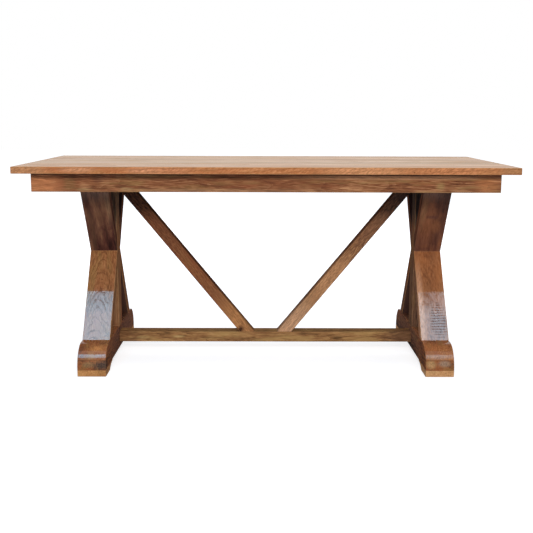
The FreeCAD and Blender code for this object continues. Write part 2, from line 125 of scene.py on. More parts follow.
# a ratio is how far a pattern is drawn out along the grain; a pair is where something fades in, and
# numbers after the pair are the shares that it fades from and to
everyWood = {
    "slowRatio": 0.14, "swayScale": 7.0, "waverRatio": 0.4, "waverScale": 26.0,
    "fibreRatio": 0.04, "fibreScale": 420.0, "toneStops": (0.15, 0.5, 0.85),
    "endGrain": (0.7, 0.2, 0.25), "edgeFacing": (0.3, 0.7), "insideFacing": (0.5, 0.95),
    "patchEdge": (0.47, 0.68), "spotEdge": (1.1, 0.3), "spotFray": 1.2,
    "spotGrain": (0.25, 0.75, 0.6, 1.4), "lineFray": 0.5, "lineBreak": (0.35, 0.6, 0.3),
    "poreRatio": 0.05, "poreScale": 700.0, "poreEdge": (0.62, 0.72), "poreShare": 0.4, "poreRelief": -0.15,
    "wornHighlitEdge": (0.97, 0.65), "wornHighlitBreak": (0.3, 0.6, 0.4), "roughVary": 0.25, "coatEdge": (0.9, 0.99),
}


def woodMaterial(name, wood, turn, centre, pith):
    material, tree, shader = emptyMaterial(name)
    shift = Vector(pith) - Euler(turn).to_matrix() @ centre
    coords = addNode(tree, "TexCoord").outputs["Object"]
    laid = {"Vector": coords, "Rotation": turn, "Location": shift}
    log = addNode(tree, "Mapping", laid).outputs[0]
    if "glueLine" in wood:
        log, under, glue = laminate(tree, coords, log, wood["glueLine"])
    slow = drawnOut(tree, log, everyWood["slowRatio"])

    # how squarely the face looks along the grain (x) or across it (y, z)
    normal = addNode(tree, "NewGeometry").outputs["Normal"]
    turned = addNode(tree, "VectorRotate", {"Vector": normal, "Rotation": turn},
                     rotation_type="EULER_XYZ").outputs[0]
    squared = vectorCalc(tree, "MULTIPLY", turned, turned)
    facing = addNode(tree, "SeparateXYZ", {"Vector": squared}).outputs
    longGrain = step(tree, facing["X"], *everyWood["endGrain"], 1.0)

    # rings taper along the log, which gives the cathedral figure
    drift = noise(tree, slow, everyWood["swayScale"]).outputs["Color"]
    sway = vectorCalc(tree, "SUBTRACT", drift, (0.5, 0.5, 0.5))
    bent = vectorCalc(tree, "MULTIPLY_ADD", sway, (0.0, wood["sway"], wood["sway"]), log)
    along = addNode(tree, "SeparateXYZ", {"Vector": log}).outputs["X"]
    phase = times(tree, along, 2 * math.pi * wood["taper"] / wood["ring"])
    rings = addNode(tree, "TexWave", {
        "Vector": bent, "Scale": waveScale(wood["ring"]), "Distortion": wood["wobble"], "Detail": 3.0,
        "Detail Scale": wood["wobbleScale"], "Detail Roughness": 0.6, "Phase Offset": phase},
        wave_type="RINGS", rings_direction="X", wave_profile="SAW").outputs["Fac"]
    broad = noise(tree, slow, wood["broadScale"], detail=3.0, rough=0.55).outputs["Fac"]

    # short strokes that waver from side to side, and finer fibres
    waver = drawnOut(tree, log, everyWood["waverRatio"])
    waver = noise(tree, waver, everyWood["waverScale"]).outputs["Color"]
    wavy = vectorCalc(tree, "MULTIPLY_ADD", waver, (0.0, wood["waver"], wood["waver"]), log)
    dashes = strokes(tree, wavy, wood["slant"], wood["dashRatio"], wood["dashScale"])
    if "edgeGrain" in wood:
        edgeDashes = strokes(tree, wavy, **wood["edgeGrain"])
        onEdge = step(tree, facing["Y"], *everyWood["edgeFacing"])
        dashes = calc(tree, "MULTIPLY_ADD", calc(tree, "SUBTRACT", edgeDashes, dashes), onEdge, dashes)
    fibre = drawnOut(tree, wavy, everyWood["fibreRatio"])
    fibre = noise(tree, fibre, everyWood["fibreScale"]).outputs["Fac"]

    shade = times(tree, centred(tree, rings), wood["ringShare"])
    shade = calc(tree, "MULTIPLY_ADD", shade, longGrain, 0.5)
    for layer, share in ((broad, "broadShare"), (dashes, "dashShare"), (fibre, "fibreShare")):
        shade = calc(tree, "MULTIPLY_ADD", centred(tree, layer), wood[share], shade)
    if "glueLine" in wood:
        shade = calc(tree, "MULTIPLY_ADD", under, wood["underTone"], shade)
    # painted shade: faces that look up or down along the piece are made darker
    shade = calc(tree, "MULTIPLY_ADD", facing["Z"], -wood["paintedTopShade"], shade)
    colour = ramp(tree, shade, list(zip(everyWood["toneStops"], wood["tones"])))

    patchy = drawnOut(tree, wavy, wood["patchRatio"])
    for index, (patch, share, scale) in enumerate(wood["patches"]):
        moved = vectorCalc(tree, "ADD", patchy, (3.1 * index, 1.7, 0.9 * index))  # no two lie alike
        spread = noise(tree, moved, scale, detail=3.0, rough=0.6).outputs["Fac"]
        spread = step(tree, spread, *everyWood["patchEdge"], 0.0, share)
        colour = tint(tree, spread, colour, patch)
    for stainAndLight in wood.get("stainsAndPaintedLight", ()):
        colour = stainAndLightPatch(tree, coords, colour, dashes, *stainAndLight)
    # painted shade on the face that looks towards the post; further down the gloss is taken off there too
    if "inside" in wood:
        inside = wood["inside"]
        sideways = addNode(tree, "SeparateXYZ", {"Vector": turned}).outputs["Y"]
        inward = step(tree, times(tree, sideways, inside["way"]), *everyWood["insideFacing"])
        colour = tint(tree, times(tree, inward, inside["share"]), colour, inside["tone"])

    # late wood: a thin dark line along each ring, broken up here and there
    dark = wood["tones"][0]
    ragged = calc(tree, "MULTIPLY_ADD", centred(tree, dashes), everyWood["lineFray"], rings)
    lines = step(tree, ragged, wood["lineStart"], 1.0)
    lines = times(tree, lines, step(tree, broad, *everyWood["lineBreak"], 1.0))
    lines = times(tree, lines, longGrain)
    colour = tint(tree, times(tree, lines, wood["lineShare"]), colour, dark)
    pores = noise(tree, drawnOut(tree, wavy, everyWood["poreRatio"]), everyWood["poreScale"], detail=1.0)
    pores = step(tree, pores.outputs["Fac"], *everyWood["poreEdge"])
    colour = tint(tree, times(tree, pores, everyWood["poreShare"]), colour, dark)
    if "chatter" in wood:
        marks = chatter(tree, coords, log, wood["chatter"])
        colour = tint(tree, times(tree, marks, wood["chatter"]["dark"]), colour, dark)
    for place, size in wood.get("knots", ()):
        colour = knot(tree, coords, colour, place, size, dark)
    if "glueLine" in wood:
        colour = tint(tree, times(tree, glue, glueJoint["share"]), colour, dark)

    # edges are paler: partly wear, partly a painted highlight on the eased edges
    flattest = calc(tree, "MAXIMUM", calc(tree, "MAXIMUM", facing["X"], facing["Y"]), facing["Z"])
    if wood.get("roundNose"):
        flattest = calc(tree, "MAXIMUM", calc(tree, "ADD", facing["X"], facing["Z"]), facing["Y"])
    wornAndHighlit = step(tree, flattest, *everyWood["wornHighlitEdge"], 0.0, wood["edgeShare"])
    wornAndHighlit = times(tree, wornAndHighlit, step(tree, broad, *everyWood["wornHighlitBreak"], 1.0))
    colour = tint(tree, wornAndHighlit, colour, wood["edge"])

    # the lacquer's gloss: most on the faces that wood["polish"] names, less over open grain and at edges
    tree.links.new(colour, shader.inputs["Base Color"])
    rough = calc(tree, "MULTIPLY_ADD", centred(tree, dashes), everyWood["roughVary"], wood["rough"])
    tree.links.new(rough, shader.inputs["Roughness"])
    shader.inputs["Specular IOR Level"].default_value = wood["specular"]
    polish = addNode(tree, "VectorMath", {0: squared, 1: wood["polish"]}, operation="DOT_PRODUCT")
    closed = calc(tree, "MULTIPLY_ADD", lines, -wood["lineDull"], 1.0)
    closed = calc(tree, "MULTIPLY_ADD", centred(tree, broad), wood["coatMottle"], closed)
    closed = calc(tree, "MULTIPLY_ADD", centred(tree, dashes), wood["coatStreak"], closed)
    if "chatter" in wood:
        closed = calc(tree, "SUBTRACT", closed, marks)
    for place, reach, share in wood.get("dullSpots", ()):
        near = step(tree, nearness(tree, coords, place, reach), *everyWood["spotEdge"], 0.0, share)
        closed = calc(tree, "SUBTRACT", closed, near)
    closed = times(tree, closed, step(tree, flattest, *everyWood["coatEdge"]))
    if "inside" in wood:
        closed = times(tree, closed, calc(tree, "SUBTRACT", 1.0, inward))
    coat = times(tree, polish.outputs["Value"], closed)
    tree.links.new(step(tree, coat, 0.0, 1.0), shader.inputs["Coat Weight"])
    shader.inputs["Coat Roughness"].default_value = wood["coatRough"]

    height = times(tree, times(tree, rings, wood["ringRelief"]), longGrain)
    height = calc(tree, "MULTIPLY_ADD", dashes, wood["dashRelief"], height)
    height = calc(tree, "MULTIPLY_ADD", pores, everyWood["poreRelief"], height)
    for socket, share in (("Normal", 1.0), ("Coat Normal", wood["coatRelief"])):
        relief = {"Height": height, "Strength": 1.0, "Distance": wood["depth"] * share}
        tree.links.new(addNode(tree, "Bump", relief).outputs[0], shader.inputs[socket])
    return material


def centred(tree, value):
    return calc(tree, "SUBTRACT", value, 0.5)


def waveScale(spacing):  # a wave texture of scale 1 repeats every pi / 10 metres
    return math.pi / 10 / spacing


def strokes(tree, wavy, slant, ratio, scale):
    slanted = addNode(tree, "VectorRotate", {"Vector": wavy, "Angle": slant},
                      rotation_type="Y_AXIS").outputs[0]
    return noise(tree, drawnOut(tree, slanted, ratio), scale, detail=4.0, rough=0.6).outputs["Fac"]


glueJoint = {"blur": 0.0003, "line": (0.0012, 0.0004), "share": 0.7, "otherLog": (0.7, 0.04, -0.03)}


def laminate(tree, coords, log, glueLine):
    # below the glue line the piece is cut from another part of the log
    height = addNode(tree, "SeparateXYZ", {"Vector": coords}).outputs["Z"]
    under = step(tree, height, glueLine + glueJoint["blur"], glueLine - glueJoint["blur"])
    away = calc(tree, "ABSOLUTE", calc(tree, "SUBTRACT", height, glueLine))
    glue = step(tree, away, *glueJoint["line"])
    moved = addNode(tree, "CombineXYZ", {"X": under, "Y": under, "Z": under}).outputs[0]
    return vectorCalc(tree, "MULTIPLY_ADD", moved, glueJoint["otherLog"], log), under, glue


def nearness(tree, coords, place, reach):
    away = vectorCalc(tree, "DIVIDE", vectorCalc(tree, "SUBTRACT", coords, place), reach)
    return addNode(tree, "VectorMath", {0: away}, operation="LENGTH").outputs["Value"]


def stainAndLightPatch(tree, coords, colour, dashes, place, reach, tone, share):
    # a soft-edged patch of another tone, frayed along the grain; it serves real stains and also painted
    # shade and light
    frayed = times(tree, centred(tree, dashes), everyWood["spotFray"])
    distance = calc(tree, "ADD", frayed, nearness(tree, coords, place, reach))
    shade = step(tree, dashes, *everyWood["spotGrain"])
    grained = addNode(tree, "VectorMath", {0: tone, "Scale": shade}, operation="SCALE").outputs[0]
    return tint(tree, step(tree, distance, *everyWood["spotEdge"], 0.0, share), colour, grained)


knotLook = {"ragged": 160.0, "halo": (1.6, 0.7), "haloShare": 0.55, "core": (0.75, 0.4), "coreShare": 0.8,
            "coreDark": 0.4}


def knot(tree, coords, colour, place, size, dark):
    ragged = centred(tree, noise(tree, coords, knotLook["ragged"]).outputs["Fac"])
    distance = calc(tree, "ADD", nearness(tree, coords, place, (size, size, size)), ragged)
    halo = times(tree, step(tree, distance, *knotLook["halo"]), knotLook["haloShare"])
    colour = tint(tree, halo, colour, dark)
    core = step(tree, distance, *knotLook["core"], 0.0, knotLook["coreShare"])
    return tint(tree, core, colour, [knotLook["coreDark"] * part for part in dark])


def chatter(tree, coords, log, mark):
    # shallow marks across the grain, left by the planer
    bands = addNode(tree, "TexWave", {
        "Vector": log, "Scale": waveScale(mark["spacing"]), "Distortion": 1.5, "Detail": 1.0},
        wave_type="BANDS", bands_direction="X").outputs["Fac"]
    near = nearness(tree, coords, mark["place"], mark["reach"])
    near = step(tree, near, *mark["edge"], 0.0, mark["share"])
    return times(tree, step(tree, bands, *mark["ridge"]), near)


def wear(name, woodName, wood, turn, pith):
    low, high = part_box(name)
    material = woodMaterial(woodName, wood, turn, (low + high) / 2, pith)
    nodes[name].material_slots[0].material = material


# turns that lay the log's length along the piece
quarterTurn = math.pi / 2
alongX = (0.0, 0.0, 0.0)
alongY = (0.0, 0.0, -quarterTurn)
alongZ = (0.0, quarterTurn, 0.0)


def leaning(name, leansBack):
    low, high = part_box(name)
    lean = math.atan2(high.y - low.y, high.z - low.z)
    return (lean if leansBack else -lean, quarterTurn, 0.0)


def rising(name, toLeft):
    low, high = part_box(name)
    rise = math.atan2(high.z - low.z, high.x - low.x)
    return (0.0, math.pi - rise if toLeft else rise, 0.0)


def onFace(depth, spread, *spots):  # stains, painted shade and painted light on a face across y: x, z, reach in x and z, tone, share
    return tuple(((x, depth, z), (wide, spread, high), tone, share)
                 for x, z, wide, high, tone, share in spots)


def scaled(tones, factors):
    return tuple(tuple(part * factor for part, factor in zip(tone, factors)) for tone in tones)


# tones go from dark to light, patches are (tone, share, scale), stains, painted shade and painted light are
# (place, reach, tone, share), knots are (place, size) and dullSpots are (place, reach, share)
plainWood = {
    "tones": ((0.12, 0.05, 0.024), (0.33, 0.14, 0.058), (0.55, 0.27, 0.12)),
    "patches": (((0.34, 0.19, 0.066), 0.5, 30.0), ((0.36, 0.115, 0.05), 0.5, 22.0)), "patchRatio": 0.18,
    "edge": (0.60, 0.34, 0.15), "edgeShare": 0.75,
    "ring": 0.011, "wobble": 2.5, "wobbleScale": 0.7, "sway": 0.06, "taper": 0.04, "ringShare": 0.25,
    "broadScale": 14.0, "broadShare": 0.5,
    "dashScale": 200.0, "dashRatio": 0.14, "dashShare": 1.0, "waver": 0.008, "slant": 0.0,
    "fibreShare": 0.4, "lineStart": 0.55, "lineShare": 0.25, "lineDull": 0.5, "paintedTopShade": 0.0,
    "rough": 0.55, "specular": 0.0, "polish": (0.0, 0.12, 0.03), "coatRough": 0.2,
    "ringRelief": 0.35, "dashRelief": 0.4, "depth": 0.0004,
    "coatRelief": 0.3, "coatMottle": 0.0, "coatStreak": 0.0,
}


boardWood = dict(
    plainWood, tones=((0.20, 0.09, 0.028), (0.41, 0.20, 0.060), (0.58, 0.33, 0.125)),
    patches=(((0.42, 0.25, 0.10), 0.4, 24.0), ((0.44, 0.17, 0.07), 0.4, 18.0)),
    ring=0.009, taper=0.03, ringShare=0.3, lineShare=0.5, dashRatio=0.06, dashShare=1.2,
    fibreShare=0.8, broadShare=0.6, polish=(0.05, 0.03, 0.8), coatRough=0.3, coatMottle=1.6)
frontBoard = dict(
    boardWood, tones=((0.22, 0.08, 0.03), (0.46, 0.172, 0.064), (0.66, 0.30, 0.13)),
    patches=(((0.44, 0.22, 0.085), 0.4, 40.0), ((0.50, 0.16, 0.065), 0.5, 30.0)),
    edgeGrain={"slant": 0.5, "ratio": 0.34, "scale": 200.0}, ringShare=0.15, fibreShare=0.4,
    stainsAndPaintedLight=onFace(
        -0.425, 0.05,
        (-0.87, 0.765, 0.13, 0.05, (0.50, 0.25, 0.12), 0.7),
        (-0.667, 0.769, 0.08, 0.014, (0.64, 0.31, 0.16), 0.6),
        (-0.435, 0.767, 0.08, 0.014, (0.64, 0.31, 0.16), 0.6),
        (-0.36, 0.767, 0.12, 0.05, (0.57, 0.24, 0.115), 0.6),
        (0.35, 0.767, 0.20, 0.05, (0.60, 0.276, 0.126), 0.8),
        (0.66, 0.767, 0.18, 0.05, (0.544, 0.219, 0.093), 0.7),
        (0.87, 0.767, 0.06, 0.05, (0.40, 0.20, 0.09), 0.7),
    ) + onFace(-0.365, 0.3, (0.0, 0.7815, 3.0, 0.004, (0.42, 0.20, 0.063), 0.9)),
    knots=(((0.520, -0.425, 0.763), 0.0024), ((0.576, -0.425, 0.767), 0.0018)))
# each board's tones are multiplied by these, the front board first
boardTones = ((1.0, 1.0, 1.0), (1.12, 1.08, 1.02), (0.90, 0.92, 0.94), (1.04, 1.06, 1.10),
              (0.88, 0.85, 0.84), (1.08, 1.03, 0.98), (0.96, 1.0, 1.05))


def topBoards():
    for index, factors in enumerate(boardTones, start=1):
        name = f"top_board_{index}"
        look = frontBoard if index == 1 else boardWood
        look = dict(look, tones=scaled(look["tones"], factors))
        pith = (1.3 * index, 0.012 * (-1) ** index, -0.05 - 0.013 * (index % 3))  # no two boards alike
        wear(name, f"top_wood_{index}", look, alongX, pith)


apronWood = dict(
    plainWood, tones=((0.09, 0.036, 0.02), (0.24, 0.095, 0.043), (0.49, 0.25, 0.12)),
    patches=(((0.30, 0.18, 0.07), 0.6, 60.0), ((0.30, 0.095, 0.045), 0.6, 40.0)), patchRatio=0.10,
    dashScale=280.0, dashRatio=0.06, dashShare=1.4, slant=-0.06, fibreShare=0.9,
    broadScale=34.0, broadShare=0.7)
apronStainsAndPaintedLight = onFace(
    -0.369, 0.1,
    (-0.81, 0.71, 0.10, 0.06, (0.53, 0.215, 0.092), 0.75),
    (-0.705, 0.715, 0.03, 0.03, (0.22, 0.135, 0.055), 0.5),
    (-0.655, 0.696, 0.035, 0.007, (0.46, 0.29, 0.135), 0.5),
    (-0.505, 0.697, 0.03, 0.008, (0.48, 0.30, 0.14), 0.55),
    (-0.60, 0.735, 0.03, 0.02, (0.10, 0.045, 0.03), 0.5),
    (-0.30, 0.733, 0.36, 0.009, (0.14, 0.055, 0.028), 0.5),
    # painted light: a paler band along the top of the right half, lifting the shadow under the top's
    # overhang
    (0.45, 0.740, 0.50, 0.010, (0.68, 0.36, 0.18), 0.8),
    # painted shadow: a thin dark line along the top, under the top's overhang
    (0.0, 0.752, 3.0, 0.0055, (0.035, 0.02, 0.022), 0.8),
    (-0.15, 0.693, 0.42, 0.009, (0.43, 0.25, 0.13), 0.5),
    (0.625, 0.71, 0.02, 0.02, (0.30, 0.20, 0.08), 0.6),
    (0.79, 0.715, 0.06, 0.05, (0.42, 0.17, 0.07), 0.7),
    (0.0, 0.72, 0.36, 0.05, (0.19, 0.07, 0.033), 0.35),
)


def aprons():
    for side, turn, pith in (
            ("front", alongX, (0.4, 0.07, 0.012)), ("back", alongX, (2.9, -0.08, -0.01)),
            ("left", alongY, (5.1, 0.06, 0.01)), ("right", alongY, (7.7, -0.07, -0.02))):
        name = f"apron_{side}"
        look = dict(apronWood, stainsAndPaintedLight=apronStainsAndPaintedLight if side == "front" else ())
        wear(name, f"apron_wood_{side}", look, turn, pith)


postWood = {
    "left": dict(plainWood, tones=((0.15, 0.062, 0.03), (0.39, 0.18, 0.083), (0.58, 0.32, 0.15))),
    "right": dict(plainWood, tones=((0.07, 0.034, 0.023), (0.235, 0.118, 0.066), (0.40, 0.22, 0.12)))}
postShade = {  # painted shade under the bearer: on the sides, and on the two faces that the arms stand over
    "side": {"height": 0.64, "reach": (0.3, 0.1, 0.15), "share": 0.7},
    "face": {"height": 0.58, "reach": (0.3, 0.012, 0.17), "share": 0.85},
}
postShadeTones = {
    "left": {"side": (0.28, 0.17, 0.10), "face": (0.115, 0.078, 0.058)},
    "right": {"side": (0.11, 0.085, 0.068), "face": (0.045, 0.037, 0.034)},
}
footWood = dict(
    plainWood, tones=((0.10, 0.036, 0.015), (0.34, 0.115, 0.042), (0.52, 0.23, 0.085)),
    glueLine=0.061, underTone=-0.12, roundNose=True, edgeShare=0.25, broadShare=1.0,
    coatRough=0.1, ringShare=0.1, dashShare=1.2, ringRelief=0.05, dashRelief=0.1)
padWood = dict(
    plainWood, tones=((0.28, 0.13, 0.05), (0.60, 0.30, 0.115), (0.78, 0.46, 0.20)), broadShare=0.9)
padTones = {"left": (0.96, 0.9, 0.85), "right": (1.04, 1.07, 1.2)}
lowerArmWood = dict(
    plainWood, tones=((0.13, 0.05, 0.022), (0.33, 0.135, 0.053), (0.48, 0.22, 0.09)),
    taper=0.20, ring=0.0075, wobble=8.0, wobbleScale=0.75, ringShare=0.1, dashRatio=0.25, dashShare=1.4,
    broadScale=36.0, lineStart=0.66, lineShare=0.8, lineDull=0.55, ringRelief=0.15, dashRelief=0.3,
    polish=(0.0, 1.08, 0.03), coatRough=0.035, coatRelief=0.04, coatMottle=1.0, coatStreak=0.7)
rightLowerArmWood = dict(
    lowerArmWood, tones=((0.11, 0.042, 0.02), (0.31, 0.115, 0.046), (0.50, 0.22, 0.09)),
    patches=(((0.42, 0.155, 0.056), 0.6, 18.0), ((0.26, 0.11, 0.05), 0.5, 24.0)), patchRatio=0.4,
    wobble=3.5, wobbleScale=1.6, lineShare=0.22, lineDull=0.2, broadScale=24.0, broadShare=0.8,
    dashShare=1.1, polish=(0.0, 1.0, 0.03))
# the upper arms take darker tones than the lower arms: partly darker wood, partly painted shade under the
# top
upperArmWood = dict(
    plainWood, tones=((0.035, 0.014, 0.012), (0.115, 0.042, 0.029), (0.28, 0.13, 0.07)),
    patches=(((0.17, 0.085, 0.044), 0.4, 20.0), ((0.15, 0.044, 0.03), 0.6, 16.0)), edge=(0.34, 0.19, 0.10),
    taper=0.05, ring=0.02, wobble=5.0, ringShare=0.15, dashShare=0.7, broadScale=34.0, broadShare=2.0)
rightUpperArmWood = dict(
    upperArmWood, tones=((0.045, 0.019, 0.015), (0.175, 0.067, 0.039), (0.34, 0.15, 0.07)),
    patches=(((0.26, 0.10, 0.045), 0.6, 20.0), ((0.15, 0.06, 0.04), 0.5, 16.0)), patchRatio=0.5,
    taper=0.3, ring=0.03, ringShare=0.05, lineShare=0.08, dashShare=0.4, fibreShare=0.25,
    broadScale=20.0, broadShare=1.3)
armPocketShade = {"tone": (0.05, 0.036, 0.04), "share": 0.8}  # painted shade on the face towards the post, which also gets no gloss
footStainsAndPaintedLight = {
    "left": (
        ((-0.606, -0.37, 0.042), (0.06, 0.06, 0.022), (0.065, 0.053, 0.045), 0.85),
        ((-0.66, -0.37, 0.045), (0.03, 0.06, 0.015), (0.27, 0.165, 0.08), 0.7),
        ((-0.63, -0.335, 0.098), (0.035, 0.04, 0.012), (0.55, 0.235, 0.08), 0.8),
        ((-0.69, -0.34, 0.10), (0.03, 0.04, 0.015), (0.16, 0.06, 0.03), 0.7),
        # painted shade where the foot top meets the front arm
        ((-0.612, -0.30, 0.112), (0.03, 0.03, 0.006), (0.16, 0.06, 0.03), 0.6),
        # painted shade on the inner side of the foot
        ((-0.593, 0.1, 0.06), (0.006, 0.6, 0.12), (0.19, 0.105, 0.08), 0.75),
        # painted shade in the pocket between the back arm and the post
        ((-0.65, 0.14, 0.122), (0.2, 0.2, 0.02), (0.08, 0.042, 0.036), 0.85)),
    "right": (
        ((0.615, -0.37, 0.046), (0.024, 0.06, 0.02), (0.48, 0.28, 0.125), 0.8),
        ((0.665, -0.37, 0.05), (0.03, 0.06, 0.016), (0.33, 0.225, 0.155), 0.8),
        # painted highlight: a pale band across the rounded nose
        ((0.64, -0.355, 0.072), (0.07, 0.03, 0.012), (0.46, 0.27, 0.17), 0.6),
        ((0.625, -0.32, 0.102), (0.05, 0.05, 0.02), (0.45, 0.16, 0.055), 0.6),
        # painted shade on the inner side of the foot
        ((0.593, 0.1, 0.06), (0.006, 0.6, 0.12), (0.185, 0.105, 0.08), 0.75),
        # painted shade, darker towards the floor on the inner side
        ((0.593, 0.1, 0.03), (0.006, 0.6, 0.03), (0.06, 0.045, 0.04), 0.7),
        # painted shade in the pocket between the back arm and the post
        ((0.65, 0.14, 0.122), (0.2, 0.2, 0.02), (0.08, 0.042, 0.036), 0.85)),
}
footPolish = {"left": (0.0, 0.0, 2.6), "right": (0.0, 0.0, 1.3)}
armStainsAndPaintedLight = {
    "left": (
        # a paler olive strip along the inner edge: partly paler wood, partly a painted highlight on the
        # eased edge
        ((-0.606, -0.2, 0.62), (0.012, 0.2, 0.12), (0.22, 0.14, 0.075), 0.5),
        # painted light: the top of the upper arm is lightened where it lies in shade under the top
        ((-0.65, -0.27, 0.69), (0.3, 0.2, 0.07), (0.24, 0.14, 0.10), 0.75),
        # painted light on the inner side of the front lower arm
        ((-0.593, -0.15, 0.3), (0.004, 0.2, 0.25), (0.52, 0.26, 0.12), 0.65),
        # painted shade on the inner side of the back arm
        ((-0.593, 0.2, 0.25), (0.004, 0.16, 0.3), (0.17, 0.085, 0.06), 0.6),
        # painted shade: darker wood under the top of the sheen, so the reflection there looks darker
        ((-0.65, -0.165, 0.245), (0.12, 0.12, 0.05), (0.17, 0.08, 0.05), 0.6)),
    "right": (
        # painted light: a paler peach strip down the lower arm's lit inner edge
        ((0.603, -0.2, 0.2), (0.02, 0.3, 0.25), (0.64, 0.34, 0.20), 0.75),
        # painted light: the top of the upper arm is lightened where it lies in shade under the top
        ((0.65, -0.27, 0.69), (0.3, 0.2, 0.07), (0.22, 0.135, 0.10), 0.7),
        # painted shade on the inner side of the front lower arm
        ((0.593, -0.15, 0.3), (0.003, 0.2, 0.25), (0.13, 0.075, 0.055), 0.85),
        # painted shade on the inner side of the back arm
        ((0.593, 0.2, 0.25), (0.004, 0.16, 0.3), (0.15, 0.10, 0.08), 0.8),
        ((0.63, -0.2, 0.52), (0.06, 0.2, 0.12), (0.27, 0.10, 0.042), 0.6),
        ((0.70, -0.25, 0.66), (0.05, 0.2, 0.12), (0.08, 0.04, 0.032), 0.6),
        ((0.608, -0.2, 0.59), (0.016, 0.2, 0.10), (0.27, 0.13, 0.06), 0.6),
        ((0.645, -0.2, 0.572), (0.034, 0.2, 0.010), (0.10, 0.042, 0.034), 0.6),
        ((0.635, -0.2, 0.434), (0.045, 0.2, 0.012), (0.10, 0.036, 0.03), 0.7),
        ((0.69, -0.2, 0.455), (0.014, 0.2, 0.03), (0.40, 0.15, 0.055), 0.7),
        # painted reflection: darker, bluer wood under the lower right of the sheen, so the reflection there
        # looks bluer
        ((0.665, -0.25, 0.16), (0.045, 0.2, 0.075), (0.12, 0.075, 0.08), 0.6)),
}
armDull = {
    "left": (
        ((-0.65, -0.15, 0.27), (0.1, 0.12, 0.075), 0.36),
        ((-0.65, -0.15, 0.286), (0.2, 0.12, 0.012), 0.2)),
    "right": (
        ((0.605, -0.2, 0.2), (0.045, 0.3, 0.25), 0.22),
        ((0.65, -0.14, 0.28), (0.1, 0.12, 0.10), 0.50),
        ((0.65, -0.14, 0.286), (0.2, 0.12, 0.014), 0.25)),
}
planerMarks = {"spacing": 0.0112, "place": (0.67, -0.2, 0.17), "reach": (0.045, 0.2, 0.08),
               "edge": (1.0, 0.5), "ridge": (0.5, 0.9), "share": 0.6, "dark": 0.5}
lowerArms = {"left": lowerArmWood, "right": dict(rightLowerArmWood, chatter=planerMarks)}
upperArms = {"left": upperArmWood, "right": rightUpperArmWood}


logStart = {"left": 0.0, "right": 4.3}
trestlePiths = {  # where the piece lies in its log: along it, and how far from its heart
    "post": (0.0, 0.06, 0.02), "foot_beam": (1.0, 0.02, -0.05), "lower_arm": (2.2, 0.055, 0.0),
    "upper_arm": (3.4, 0.065, 0.01), "foot_pad": (5.0, 0.03, 0.05),
}


def trestlePiece(side, kind, look, turn, end="", way=1.0):
    name = f"{side}_{kind}{end}"
    along, across, up = trestlePiths[kind]
    pith = (logStart[side] + along, across * way, up)
    wear(name, f"{kind}_wood_{side}{end}", look, turn, pith)


def shadedPost(side):
    low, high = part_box(f"{side}_post")
    stainsAndPaintedLight = []
    for part, depth in (("side", 0.0), ("face", low.y), ("face", high.y)):
        shade = postShade[part]
        place = (low.x, depth, shade["height"])
        stainsAndPaintedLight.append((place, shade["reach"], postShadeTones[side][part], shade["share"]))
    return dict(postWood[side], stainsAndPaintedLight=stainsAndPaintedLight)


def trestles():
    for side in ("left", "right"):
        trestlePiece(side, "post", shadedPost(side), alongZ)
        look = dict(footWood, stainsAndPaintedLight=footStainsAndPaintedLight[side], polish=footPolish[side])
        trestlePiece(side, "foot_beam", look, alongY)
        for end in ("_front", "_back"):
            leansBack = end == "_front"
            toPost = 1.0 if leansBack else -1.0
            dressed = {"stainsAndPaintedLight": armStainsAndPaintedLight[side], "inside": dict(armPocketShade, way=toPost)}
            turn = leaning(f"{side}_lower_arm{end}", leansBack)
            look = dict(lowerArms[side], dullSpots=armDull[side], **dressed)
            trestlePiece(side, "lower_arm", look, turn, end, -toPost)
            turn = leaning(f"{side}_upper_arm{end}", not leansBack)
            trestlePiece(side, "upper_arm", dict(upperArms[side], **dressed), turn, end, toPost)
            look = dict(padWood, tones=scaled(padWood["tones"], padTones[side]))
            trestlePiece(side, "foot_pad", look, alongY, end)


stretcherWood = dict(
    plainWood, tones=((0.12, 0.058, 0.024), (0.37, 0.18, 0.07), (0.58, 0.33, 0.13)),
    patches=(((0.50, 0.30, 0.11), 0.6, 40.0), ((0.30, 0.13, 0.05), 0.4, 26.0)),
    dashShare=1.2, broadShare=1.0, edgeShare=0.3, paintedTopShade=0.12,
    stainsAndPaintedLight=(
        # painted shade: a dark strip along the top, under the table
        ((0.0, 0.0, 0.093), (1.0, 0.2, 0.006), (0.14, 0.08, 0.038), 0.85),
        # painted shadow at the left end, cast by the trestle's arms
        ((-0.60, -0.032, 0.07), (0.14, 0.06, 0.06), (0.17, 0.078, 0.036), 0.75),
        # painted shadow at the right end, cast by the trestle's arms
        ((0.60, -0.032, 0.07), (0.15, 0.06, 0.06), (0.12, 0.055, 0.034), 0.8),
        ((-0.50, -0.032, 0.065), (0.03, 0.02, 0.008), (0.62, 0.42, 0.17), 0.4),
        ((-0.355, -0.032, 0.068), (0.03, 0.02, 0.006), (0.62, 0.42, 0.17), 0.6)))
braceWood = dict(
    plainWood, ringShare=0.12, edgeShare=0.2, dashScale=320.0, dashRatio=0.2, dashShare=1.4, fibreShare=0.7)
